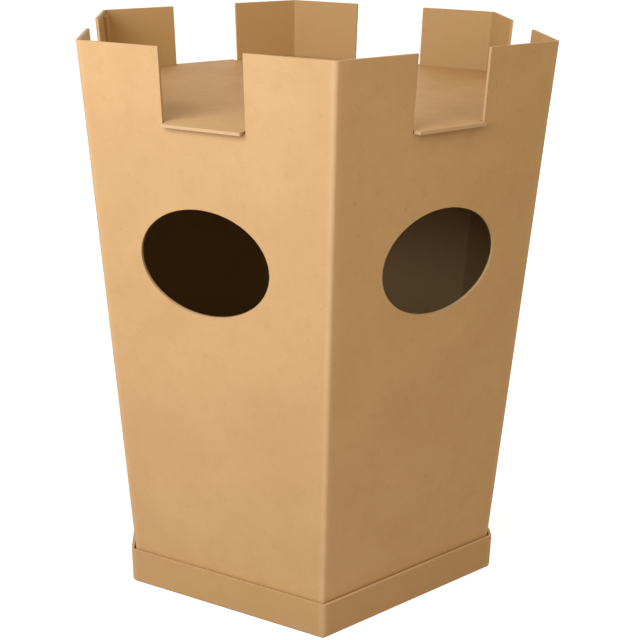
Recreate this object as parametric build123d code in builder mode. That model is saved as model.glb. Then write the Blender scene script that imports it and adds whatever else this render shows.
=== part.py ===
"""A cardboard castle tower: a folded hexagonal sleeve, a deck and a base tray.

Millimetres, +Z up. The origin is the centre of the base, on the ground.
The fold between the two front panels points to -Y.
"""

from build123d import *
from math import atan2, cos, degrees, radians, tan
import os

# ---------------------------------------------------------------- board
BOARD = 1.5                  # thickness of the kraft board, all three sheets

# ---------------------------------------------------------------- tower
TOWER_HEIGHT = 298.5         # cut height of the sleeve, base edge to rim
TOP_SIDE = 131.2             # width of one panel across the outside at the rim
BOTTOM_SIDE = 114.8          # the same at the base edge
FOLD_RADIUS = 0.8            # inside radius of the sleeve's folds

CRENEL_WIDTH = 43.0          # gap between two merlons
CRENEL_DEPTH = 35.5          # rim to the foot of the gap

WINDOW_WIDTH = 70.0          # oval windows, across the panel
WINDOW_TALL = 54.0           # and along its slope
WINDOW_HEIGHT = 199.5        # window centre above the ground
WINDOW_CUT = 4 * BOARD       # how far the cutter passes to each side of the face
LEFT_WINDOW_SHIFT = 3.5      # window centre off the panel's middle,
RIGHT_WINDOW_SHIFT = 1.4     # each away from the front fold

FLAP_WIDTH = 15.0            # glue flap that closes the sheet into a sleeve
FLAP_SETBACK = 2.0           # flap ends this far inside the rim and base edge
FLAP_OVERLAP = 0.3           # how far the glued flap is let into the wall

# ---------------------------------------------------------------- deck
DECK_CLEARANCE = 0.6         # deck edge to the sleeve's inner face
TAB_CLEARANCE = 1.0          # tab side to the side of its crenel
TAB_OVERHANG = 3.5           # tab end beyond the sleeve's outer face
TAB_CORNER_RADIUS = 0.8
FLAP_SLOT_CLEARANCE = 0.6    # glue flap to the deck that passes through it

# ---------------------------------------------------------------- tray
TRAY_HEIGHT = 21.0           # tray rim above the ground
TRAY_CLEARANCE = 0.8         # sleeve to tray wall, at the tray's rim
TRAY_FOLD_RADIUS = 1.5       # inside radius of the tray's upright corners
TRAY_FLOOR_FOLD = 0.3        # inside radius where the floor turns up into the wall

# ---------------------------------------------------------------- derived
FIT = 0.001                  # two heights closer than this are the same
HALF = radians(30)           # half the angle that one panel spans
PANELS = [60 * i for i in range(6)]      # direction that each panel faces
FRONT_LEFT = 240
FRONT_RIGHT = 300
SEAM_PANEL = 180             # the glue flap lies behind this panel
CRENEL_CUT = TOP_SIDE        # the cutter starts at the axis and passes the face

base_z = BOARD                           # the sleeve stands on the tray's floor
rim_z = base_z + TOWER_HEIGHT
deck_z = rim_z - CRENEL_DEPTH            # the deck lies on the crenels' feet
flare = atan2((TOP_SIDE - BOTTOM_SIDE) / 2 / tan(HALF), TOWER_HEIGHT)
wall = BOARD / cos(flare)                # board measured level, through the slope


def side_at(z):
    """Width of one panel across the outside, at height z."""
    return BOTTOM_SIDE + (TOP_SIDE - BOTTOM_SIDE) * (z - base_z) / TOWER_HEIGHT


def reach_at(z):
    """Level distance from the axis to a panel's outer face, at height z."""
    return side_at(z) / 2 / tan(HALF)


def side_of(reach):
    """Side of the hexagon whose faces stand at this distance from the axis."""
    return 2 * reach * tan(HALF)


def facing(direction, z):
    """Level plane at height z whose X axis points where the panel faces."""
    return Plane((0, 0, z), x_dir=Vector(1, 0, 0).rotate(Axis.Z, direction), z_dir=(0, 0, 1))


def upright(direction):
    """Upright plane through the axis, facing as the panel does: X along it, Y up."""
    out = Vector(1, 0, 0).rotate(Axis.Z, direction)
    return Plane((0, 0, 0), x_dir=out.rotate(Axis.Z, 90), z_dir=out)


def on_panel(direction, z, shift):
    """Plane on a panel's outer face: X along the panel, Y up its slope."""
    out = Vector(1, 0, 0).rotate(Axis.Z, direction)
    along = out.rotate(Axis.Z, 90)
    normal = out.rotate(Axis(origin=(0, 0, 0), direction=along), degrees(flare))
    return Plane(out * reach_at(z) + along * shift + Vector(0, 0, z), x_dir=along, z_dir=normal)


def hexagon(reach, radius):
    """Sketch a hexagon with folded corners, faces at this reach from the axis."""
    RegularPolygon(radius=side_of(reach), side_count=6, rotation=30)
    fillet(vertices(), radius=radius)


# ---------------------------------------------------------------- base tray
tray_reach = reach_at(TRAY_HEIGHT) + TRAY_CLEARANCE     # inner faces of the walls

with BuildPart() as base_tray:
    with BuildSketch():
        hexagon(tray_reach + BOARD, TRAY_FOLD_RADIUS + BOARD)
    extrude(amount=TRAY_HEIGHT)
    fillet(base_tray.edges().group_by(Axis.Z)[0], radius=TRAY_FLOOR_FOLD + BOARD)
    with BuildSketch(Plane.XY.offset(BOARD)):
        hexagon(tray_reach, TRAY_FOLD_RADIUS)
    extrude(amount=TRAY_HEIGHT, mode=Mode.SUBTRACT)
    floor_edges = base_tray.edges().filter_by(lambda e: abs(e.center().Z - BOARD) < FIT)
    fillet(floor_edges, radius=TRAY_FLOOR_FOLD)

# ---------------------------------------------------------------- tower
with BuildPart() as tower:
    for z in (base_z, rim_z):
        with BuildSketch(Plane.XY.offset(z)):
            hexagon(reach_at(z), FOLD_RADIUS + BOARD)
    loft(ruled=True)
    for z in (base_z, rim_z):
        with BuildSketch(Plane.XY.offset(z)):
            hexagon(reach_at(z) - wall, FOLD_RADIUS)
    loft(ruled=True, mode=Mode.SUBTRACT)

    # The glue flap, slotted where the deck passes through it.
    for low, high in (
        (base_z + FLAP_SETBACK, deck_z - FLAP_SLOT_CLEARANCE),
        (deck_z + BOARD + FLAP_SLOT_CLEARANCE, rim_z - FLAP_SETBACK),
    ):
        for z in (low, high):
            face = reach_at(z) - wall
            corner = side_of(face) / 2
            fold = corner + wall * tan(HALF) + FLAP_OVERLAP
            with BuildSketch(facing(SEAM_PANEL, z)):
                with BuildLine():
                    Polyline(
                        (face + FLAP_OVERLAP, -corner),
                        (face - wall, -fold),
                        (face - wall, FLAP_WIDTH - corner),
                        (face + FLAP_OVERLAP, FLAP_WIDTH - corner),
                        close=True,
                    )
                make_face()
        loft(ruled=True)

    # One crenel in the middle of every panel.
    for direction in PANELS:
        with BuildSketch(upright(direction)):
            with Locations((0, deck_z)):
                Rectangle(CRENEL_WIDTH, 2 * CRENEL_DEPTH, align=(Align.CENTER, Align.MIN))
        extrude(amount=CRENEL_CUT, mode=Mode.SUBTRACT)

    # An oval window in each front panel.
    for direction, shift in ((FRONT_LEFT, -LEFT_WINDOW_SHIFT), (FRONT_RIGHT, RIGHT_WINDOW_SHIFT)):
        with BuildSketch(on_panel(direction, WINDOW_HEIGHT, shift)):
            Ellipse(WINDOW_WIDTH / 2, WINDOW_TALL / 2)
        extrude(amount=WINDOW_CUT, both=True, mode=Mode.SUBTRACT)

# ---------------------------------------------------------------- deck
deck_reach = reach_at(deck_z) - wall - DECK_CLEARANCE
tab_end = reach_at(deck_z + BOARD) + TAB_OVERHANG

with BuildPart() as deck:
    with BuildSketch(Plane.XY.offset(deck_z)):
        hexagon(deck_reach, FOLD_RADIUS + BOARD)
        with PolarLocations(tab_end / 2, len(PANELS)):
            RectangleRounded(tab_end, CRENEL_WIDTH - 2 * TAB_CLEARANCE, TAB_CORNER_RADIUS)
    extrude(amount=BOARD)

# ---------------------------------------------------------------- output
os.makedirs("parts", exist_ok=True)

tower.part.label = "tower"
deck.part.label = "deck"
base_tray.part.label = "base_tray"

export_step(tower.part, "parts/tower.step")
export_step(deck.part, "parts/deck.step")
export_step(base_tray.part, "parts/base_tray.step")

for piece in (tower, deck, base_tray):
    box = piece.part.bounding_box()
    print(piece.part.label, len(piece.part.solids()), round(piece.part.volume, 1), box.min, box.max)
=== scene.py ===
"""A cardboard castle tower: kraft board finishes, soft studio light and the camera.

Metres, +Z up. The tower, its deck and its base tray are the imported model's own
meshes, and each gets the finish of the sheet that it is cut from.
"""

import bpy
import bmesh
from math import cos, radians, sin
from mathutils import Matrix, Vector


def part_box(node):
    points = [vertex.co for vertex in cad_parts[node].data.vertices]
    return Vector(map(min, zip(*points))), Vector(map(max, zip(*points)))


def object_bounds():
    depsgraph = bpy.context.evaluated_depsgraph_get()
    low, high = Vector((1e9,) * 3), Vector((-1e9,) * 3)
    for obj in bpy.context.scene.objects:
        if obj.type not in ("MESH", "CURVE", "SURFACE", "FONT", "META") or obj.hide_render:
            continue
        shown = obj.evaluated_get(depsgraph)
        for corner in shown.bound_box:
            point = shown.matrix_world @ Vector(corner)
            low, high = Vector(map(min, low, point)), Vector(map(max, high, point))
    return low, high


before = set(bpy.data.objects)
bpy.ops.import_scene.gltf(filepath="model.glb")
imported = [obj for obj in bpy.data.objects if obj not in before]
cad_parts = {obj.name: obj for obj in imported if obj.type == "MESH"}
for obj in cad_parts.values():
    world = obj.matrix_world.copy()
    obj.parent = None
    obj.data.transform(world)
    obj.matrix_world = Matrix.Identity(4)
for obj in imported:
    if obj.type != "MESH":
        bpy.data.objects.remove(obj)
cad_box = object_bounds()

MM = 0.001

# ---------------------------------------------------------------- board
BOARD = 1.5 * MM                       # thickness of the sheets
KRAFT = (0.520, 0.298, 0.116)          # smooth face of the board
KRAFT_LIGHT = (0.550, 0.322, 0.130)    # the same where the fibres lie thin
KRAFT_DARK = (0.420, 0.225, 0.078)     # the same where they lie thick
INNER_PAINTED_SHADE = (0.415, 0.245, 0.084)      # painted shade: the wall's inner face, darker and browner than its outer face
CUT_EDGE = (0.520, 0.335, 0.160)       # raw edge, where the core shows
FOLD_WORN = (0.620, 0.395, 0.190)      # stretched face along a fold
FLECK = (0.270, 0.150, 0.058)          # bark flecks in the pulp
SEAM_LINE = (0.200, 0.115, 0.048)      # gap along the glued seam

CLOUDS = 26                            # broad tones, in patterns for each metre
BLOTCHES = 140                         # uneven pulp
FIBRES_UP = 1900                       # strands along the height
FIBRES_FLAT = 1500                     # strands across it
FLECKS = 850
SAG_WAVES = 14                         # slow waves in the sheet
SAG_DEPTH = 0.9 * MM
RELIEF_DEPTH = 0.08 * MM               # how far the fibres stand up
RELIEF_STRENGTH = 0.35
FOLD_PATCHES = 60                      # rubbing along a fold
CORE_GRAIN = 900                       # grain in a cut edge
INNER_SHADE_STRENGTH = 0.8                       # how strongly the painted shade darkens the inner face
TRAY_BROWNING = 0.5

SEAM_ANGLE = 150                       # direction of the corner with the glued seam
SEAM_OFFSET = 1.8 * MM                 # seam line's distance from that corner
SEAM_WIDTH = 0.35 * MM

# ---------------------------------------------------------------- camera
CAMERA_DISTANCE = 0.5857               # level distance from the tower's axis
CAMERA_AZIMUTH = radians(-4.672)       # to the left of the front fold
CAMERA_HEIGHT = 0.3659
CAMERA_TURN = radians(-0.676)          # aim, left of the axis
CAMERA_PITCH = radians(21.650)         # aim, below level
CAMERA_ROLL = radians(0.830)
SENSOR = 36.0
LENS = 61.125

# ---------------------------------------------------------------- studio
FLOOR_TONE = 0.40
FLOOR_GLOW = 0.85                      # white that the floor adds where it is looked at
FLOOR_RADIUS = 12
FLOOR_DROP = 0.05 * MM                 # floor below the tray's underside
SKY_COLOUR = (0.92, 0.80, 0.60)
SKY_STRENGTH = 0.68


# ================================================================ node helpers
class Nodes:
    """Adds nodes to one tree and links values into them."""

    def __init__(self, tree):
        self.tree = tree

    def add(self, kind, **settings):
        node = self.tree.nodes.new(kind)
        for name, value in settings.items():
            setattr(node, name, value)
        return node

    def feed(self, socket, value):
        if isinstance(value, bpy.types.NodeSocket):
            self.tree.links.new(value, socket)
        else:
            socket.default_value = value

    def math(self, operation, *values):
        node = self.add("ShaderNodeMath", operation=operation)
        for socket, value in zip(node.inputs, values):
            self.feed(socket, value)
        return node.outputs[0]

    def step(self, value, low, high):
        """Rises smoothly from 0 at low to 1 at high."""
        node = self.add("ShaderNodeMapRange", interpolation_type="SMOOTHSTEP")
        for name, item in (("Value", value), ("From Min", low), ("From Max", high)):
            self.feed(node.inputs[name], item)
        return node.outputs["Result"]

    def mix(self, factor, first, second):
        """Blends two colours."""
        node = self.add("ShaderNodeMix", data_type="RGBA")
        colours = [s for s in node.inputs if s.type == "RGBA"]
        self.feed(node.inputs[0], factor)
        for socket, value in zip(colours, (first, second)):
            self.feed(socket, value if not isinstance(value, tuple) else (*value, 1))
        return next(s for s in node.outputs if s.type == "RGBA")

    def noise(self, vector, scale, detail=2.0, roughness=0.5):
        node = self.add("ShaderNodeTexNoise")
        self.feed(node.inputs["Vector"], vector)
        node.inputs["Scale"].default_value = scale
        node.inputs["Detail"].default_value = detail
        node.inputs["Roughness"].default_value = roughness
        return node.outputs["Fac"]

    def stretched(self, vector, scale):
        node = self.add("ShaderNodeMapping")
        self.feed(node.inputs["Vector"], vector)
        node.inputs["Scale"].default_value = scale
        return node.outputs["Vector"]


def new_group(name, inputs, outputs):
    """An empty shader node group: its Nodes, its input sockets and its output node."""
    tree = bpy.data.node_groups.new(name, "ShaderNodeTree")
    for label, kind in inputs:
        tree.interface.new_socket(label, in_out="INPUT", socket_type=kind)
    for label, kind in outputs:
        tree.interface.new_socket(label, in_out="OUTPUT", socket_type=kind)
    nodes = Nodes(tree)
    given = nodes.add("NodeGroupInput")
    result = nodes.add("NodeGroupOutput")
    return nodes, given.outputs, result.inputs


# ================================================================ board finish
def kraft_face_group():
    """The face of kraft board: clouds, fibres and flecks, and how they stand up."""
    nodes, given, result = new_group(
        "kraft_face",
        [("Vector", "NodeSocketVector")],
        [
            ("Color", "NodeSocketColor"),
            ("Roughness", "NodeSocketFloat"),
            ("Height", "NodeSocketFloat"),
        ],
    )
    place = given["Vector"]
    cloud = nodes.noise(place, CLOUDS, 3.0, 0.55)
    blotch = nodes.noise(place, BLOTCHES, 3.0, 0.6)
    fibre_up = nodes.noise(nodes.stretched(place, (1.0, 1.0, 0.12)), FIBRES_UP, 2.0, 0.6)
    fibre_flat = nodes.noise(nodes.stretched(place, (0.2, 0.2, 1.0)), FIBRES_FLAT, 2.0, 0.6)
    fibres = nodes.math("MAXIMUM", fibre_up, fibre_flat)
    specks = nodes.noise(nodes.stretched(place, (1.0, 1.0, 0.5)), FLECKS, 1.0)
    flecks = nodes.step(specks, 0.70, 0.78)

    tone = nodes.mix(nodes.step(cloud, 0.30, 0.72), KRAFT, KRAFT_LIGHT)
    thick = nodes.math("MULTIPLY", nodes.step(blotch, 0.48, 0.80), 0.18)
    tone = nodes.mix(thick, tone, KRAFT_DARK)
    strand = nodes.math("MULTIPLY", nodes.step(fibres, 0.56, 0.78), 0.26)
    tone = nodes.mix(strand, tone, KRAFT_DARK)
    tone = nodes.mix(nodes.math("MULTIPLY", flecks, 0.28), tone, FLECK)

    nodes.feed(result["Color"], tone)
    rough = nodes.math("ADD", nodes.math("MULTIPLY", blotch, 0.22), 0.62)
    nodes.feed(result["Roughness"], rough)
    strands_up = nodes.math("MULTIPLY", fibres, 0.55)
    raised = nodes.math("ADD", strands_up, nodes.math("MULTIPLY", blotch, 0.7))
    nodes.feed(result["Height"], raised)
    return nodes.tree


def folded_wall_group():
    """Where a point lies on a six-sided folded wall: in its cut edge, or along a fold.

    Reach is the level distance from the axis to the wall's outer face at height 0,
    and Flare is how much further out it stands for each unit of height.
    """
    nodes, given, result = new_group(
        "folded_wall",
        [("Vector", "NodeSocketVector"), ("Reach", "NodeSocketFloat"), ("Flare", "NodeSocketFloat")],
        [
            ("Cut", "NodeSocketFloat"),
            ("Fold", "NodeSocketFloat"),
            ("Inside", "NodeSocketFloat"),
        ],
    )
    parts = nodes.add("ShaderNodeSeparateXYZ")
    nodes.feed(parts.inputs[0], given["Vector"])
    x, y, z = parts.outputs
    reaches = []
    for angle in (0, 60, 120):
        across = nodes.math("MULTIPLY", x, cos(radians(angle)))
        out = nodes.math("MULTIPLY_ADD", y, sin(radians(angle)), across)
        reaches.append(nodes.math("ABSOLUTE", out))
    first, second, third = reaches
    furthest = nodes.math("MAXIMUM", nodes.math("MAXIMUM", first, second), third)
    nearest = nodes.math("MINIMUM", nodes.math("MINIMUM", first, second), third)
    total = nodes.math("ADD", nodes.math("ADD", first, second), third)
    middle = nodes.math("SUBTRACT", nodes.math("SUBTRACT", total, furthest), nearest)

    face = nodes.math("MULTIPLY_ADD", z, given["Flare"], given["Reach"])
    depth = nodes.math("SUBTRACT", face, furthest)
    under_face = nodes.step(depth, 0.12 * BOARD, 0.25 * BOARD)
    over_back = nodes.step(depth, 0.90 * BOARD, 0.78 * BOARD)
    from_fold = nodes.math("DIVIDE", nodes.math("SUBTRACT", furthest, middle), sin(radians(60)))
    near_fold = nodes.step(from_fold, 2.6 * BOARD, 0.6 * BOARD)
    nodes.feed(result["Cut"], nodes.math("MULTIPLY", under_face, over_back))
    nodes.feed(result["Fold"], near_fold)
    nodes.feed(result["Inside"], nodes.step(depth, 0.80 * BOARD, 0.92 * BOARD))
    return nodes.tree


def seam_group():
    """The line where the sheet's free edge meets the next panel, beside one corner."""
    nodes, given, result = new_group(
        "glued_seam",
        [("Vector", "NodeSocketVector")],
        [("Line", "NodeSocketFloat")],
    )
    parts = nodes.add("ShaderNodeSeparateXYZ")
    nodes.feed(parts.inputs[0], given["Vector"])
    x, y, _ = parts.outputs
    turn = radians(SEAM_ANGLE)
    towards = nodes.math("MULTIPLY_ADD", y, sin(turn), nodes.math("MULTIPLY", x, cos(turn)))
    beside = nodes.math("MULTIPLY_ADD", y, -cos(turn), nodes.math("MULTIPLY", x, sin(turn)))
    off_line = nodes.math("ABSOLUTE", nodes.math("ADD", beside, SEAM_OFFSET))
    line = nodes.step(off_line, SEAM_WIDTH, 0.4 * SEAM_WIDTH)
    this_corner = nodes.math("GREATER_THAN", towards, 0.0)
    nodes.feed(result["Line"], nodes.math("MULTIPLY", line, this_corner))
    return nodes.tree


FACE = kraft_face_group()
WALL = folded_wall_group()
SEAM = seam_group()


def start_material(name):
    """A new material with its Nodes, its surface shader and the piece's own coordinates."""
    material = bpy.data.materials.new(name)
    material.use_nodes = True
    nodes = Nodes(material.node_tree)
    surface = material.node_tree.nodes["Principled BSDF"]
    place = nodes.add("ShaderNodeTexCoord").outputs["Object"]
    return material, nodes, surface, place


def use_group(nodes, group, **values):
    node = nodes.add("ShaderNodeGroup", node_tree=group)
    for name, value in values.items():
        nodes.feed(node.inputs[name], value)
    return node.outputs


def finish_board(nodes, surface, face, tone, sag):
    """Puts the face's tone, roughness and relief on the surface, and a slow sag of the sheet."""
    nodes.feed(surface.inputs["Base Color"], tone)
    nodes.feed(surface.inputs["Roughness"], face["Roughness"])
    surface.inputs["Specular IOR Level"].default_value = 0.35
    warp = nodes.add("ShaderNodeBump")
    warp.inputs["Strength"].default_value = 1.0
    warp.inputs["Distance"].default_value = SAG_DEPTH
    nodes.feed(warp.inputs["Height"], sag)
    relief = nodes.add("ShaderNodeBump")
    relief.inputs["Strength"].default_value = RELIEF_STRENGTH
    relief.inputs["Distance"].default_value = RELIEF_DEPTH
    nodes.feed(relief.inputs["Height"], face["Height"])
    nodes.feed(relief.inputs["Normal"], warp.outputs["Normal"])
    nodes.feed(surface.inputs["Normal"], relief.outputs["Normal"])


def folded_board(name, reach, flare, browning, seam):
    """Board folded into a six-sided wall, with pale cut edges, rubbed folds and painted shade on its
    inner face.

    Browning is how far its face tends to the dark of the sheet's thick places.
    """
    material, nodes, surface, place = start_material(name)
    face = use_group(nodes, FACE, Vector=place)
    wall = use_group(nodes, WALL, Vector=place, Reach=reach, Flare=flare)
    worn = nodes.math("MULTIPLY", nodes.noise(place, FOLD_PATCHES, 3.0), wall["Fold"])
    tone = nodes.mix(browning, face["Color"], KRAFT_DARK)
    tone = nodes.mix(nodes.math("MULTIPLY", worn, 0.75), tone, FOLD_WORN)
    core = nodes.math("MULTIPLY", wall["Cut"], nodes.step(nodes.noise(place, CORE_GRAIN), 0.1, 0.6))
    tone = nodes.mix(core, tone, CUT_EDGE)
    if seam:
        line = use_group(nodes, SEAM, Vector=place)["Line"]
        outside = nodes.math("SUBTRACT", 1.0, wall["Inside"])
        tone = nodes.mix(nodes.math("MULTIPLY", line, outside), tone, SEAM_LINE)
    # painted shade: the wall's inner face is darkened and browned
    tone = nodes.mix(nodes.math("MULTIPLY", wall["Inside"], INNER_SHADE_STRENGTH), tone, INNER_PAINTED_SHADE)
    finish_board(nodes, surface, face, tone, nodes.noise(place, SAG_WAVES, 1.0))
    return material


def flat_board(name, low, high):
    """A flat sheet between two heights, with pale cut edges."""
    material, nodes, surface, place = start_material(name)
    face = use_group(nodes, FACE, Vector=place)
    parts = nodes.add("ShaderNodeSeparateXYZ")
    nodes.feed(parts.inputs[0], place)
    height = parts.outputs[2]
    above = nodes.step(height, low + 0.10 * BOARD, low + 0.22 * BOARD)
    below = nodes.step(height, high - 0.10 * BOARD, high - 0.22 * BOARD)
    tone = nodes.mix(nodes.math("MULTIPLY", above, below), face["Color"], CUT_EDGE)
    finish_board(nodes, surface, face, tone, nodes.noise(place, SAG_WAVES, 1.0))
    return material


def reach_near(node, z, slack=0.2 * MM):
    """Level distance from the axis to the wall's outer face, at a height where it has corners."""
    corners = [v.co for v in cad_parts[node].data.vertices if abs(v.co.z - z) < slack]
    return max(abs(corner.x) for corner in corners)


def dress(node, material):
    """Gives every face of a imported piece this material."""
    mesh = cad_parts[node].data
    if not mesh.materials:
        mesh.materials.append(material)
    for index in range(len(mesh.materials)):
        mesh.materials[index] = material


def dress_castle():
    low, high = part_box("tower")
    foot, rim = reach_near("tower", low.z), reach_near("tower", high.z)
    flare = (rim - foot) / (high.z - low.z)
    start = foot - flare * low.z
    dress("tower", folded_board("tower_board", start, flare, browning=0.0, seam=True))

    low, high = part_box("base_tray")
    reach = reach_near("base_tray", high.z)
    dress("base_tray", folded_board("tray_board", reach, 0.0, browning=TRAY_BROWNING, seam=False))

    low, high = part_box("deck")
    dress("deck", flat_board("deck_board", low.z, high.z))


# ================================================================ studio
def seen_mask(nodes):
    """1 for rays that look at the studio, straight or through a mirror or glass."""
    path = nodes.add("ShaderNodeLightPath").outputs
    looks = nodes.math("MAXIMUM", path["Is Camera Ray"], path["Is Glossy Ray"])
    return nodes.math("MAXIMUM", looks, path["Is Transmission Ray"])


def studio_floor():
    """A white floor that keeps the castle's shadow."""
    mesh = bpy.data.meshes.new("studio_floor")
    shape = bmesh.new()
    bmesh.ops.create_circle(shape, cap_ends=True, segments=64, radius=FLOOR_RADIUS)
    bmesh.ops.translate(shape, verts=shape.verts, vec=(0, 0, -FLOOR_DROP))
    shape.to_mesh(mesh)
    shape.free()
    floor = bpy.data.objects.new("studio_floor", mesh)
    bpy.context.collection.objects.link(floor)

    material, nodes, surface, _ = start_material("studio_floor")
    surface.inputs["Base Color"].default_value = (FLOOR_TONE, FLOOR_TONE, FLOOR_TONE, 1)
    surface.inputs["Roughness"].default_value = 0.9
    surface.inputs["Specular IOR Level"].default_value = 0.0
    surface.inputs["Emission Color"].default_value = (1, 1, 1, 1)
    glow = nodes.math("MULTIPLY", seen_mask(nodes), FLOOR_GLOW)
    nodes.feed(surface.inputs["Emission Strength"], glow)
    mesh.materials.append(material)


def studio_sky():
    """Soft light from all round, and white behind the castle."""
    world = bpy.data.worlds.new("studio_sky")
    bpy.context.scene.world = world
    world.use_nodes = True
    nodes = Nodes(world.node_tree)
    world.node_tree.nodes.clear()
    soft = nodes.add("ShaderNodeBackground")
    soft.inputs["Color"].default_value = (*SKY_COLOUR, 1)
    soft.inputs["Strength"].default_value = SKY_STRENGTH
    white = nodes.add("ShaderNodeBackground")
    white.inputs["Color"].default_value = (1, 1, 1, 1)
    both = nodes.add("ShaderNodeMixShader")
    nodes.feed(both.inputs[0], seen_mask(nodes))
    nodes.feed(both.inputs[1], soft.outputs[0])
    nodes.feed(both.inputs[2], white.outputs[0])
    nodes.feed(nodes.add("ShaderNodeOutputWorld").inputs["Surface"], both.outputs[0])


def lamp(name, azimuth, elevation, distance, size, power, colour):
    """A square soft box that looks at the middle of the castle."""
    low, high = cad_box
    middle = (Vector(low) + Vector(high)) / 2
    turn, lift = radians(azimuth), radians(elevation)
    away = Vector((sin(turn) * cos(lift), -cos(turn) * cos(lift), sin(lift)))
    light = bpy.data.lights.new(name, "AREA")
    light.size = size
    light.energy = power
    light.color = colour
    holder = bpy.data.objects.new(name, light)
    holder.location = middle + away * distance
    holder.rotation_euler = away.to_track_quat("Z", "Y").to_euler()
    bpy.context.collection.objects.link(holder)


def camera():
    holder = bpy.data.objects.new("camera", bpy.data.cameras.new("camera"))
    holder.data.sensor_width = SENSOR
    holder.data.lens = LENS
    aim = CAMERA_AZIMUTH + CAMERA_TURN
    level = Vector((-sin(aim), cos(aim), 0))
    forward = level * cos(CAMERA_PITCH) - Vector((0, 0, sin(CAMERA_PITCH)))
    right = forward.cross(Vector((0, 0, 1))).normalized()
    up = right.cross(forward)
    tilted_right = right * cos(CAMERA_ROLL) + up * sin(CAMERA_ROLL)
    tilted_up = up * cos(CAMERA_ROLL) - right * sin(CAMERA_ROLL)
    turned = Matrix((tilted_right, tilted_up, -forward)).transposed().to_4x4()
    place = Vector(
        (
            CAMERA_DISTANCE * sin(CAMERA_AZIMUTH),
            -CAMERA_DISTANCE * cos(CAMERA_AZIMUTH),
            CAMERA_HEIGHT,
        )
    )
    holder.matrix_world = Matrix.Translation(place) @ turned
    bpy.context.collection.objects.link(holder)
    bpy.context.scene.camera = holder


dress_castle()
studio_floor()
studio_sky()
lamp("key_lamp", -39, 29, distance=0.64, size=0.36, power=3.5, colour=(0.91, 1.0, 1.27))
lamp("fill_lamp", 40, 30, distance=1.6, size=1.0, power=2.2, colour=(1.0, 0.89, 0.68))
lamp("back_lamp", 172, 3, distance=1.5, size=0.5, power=9.0, colour=(1.0, 0.98, 0.95))
camera()
bpy.context.scene.view_settings.view_transform = "Standard"
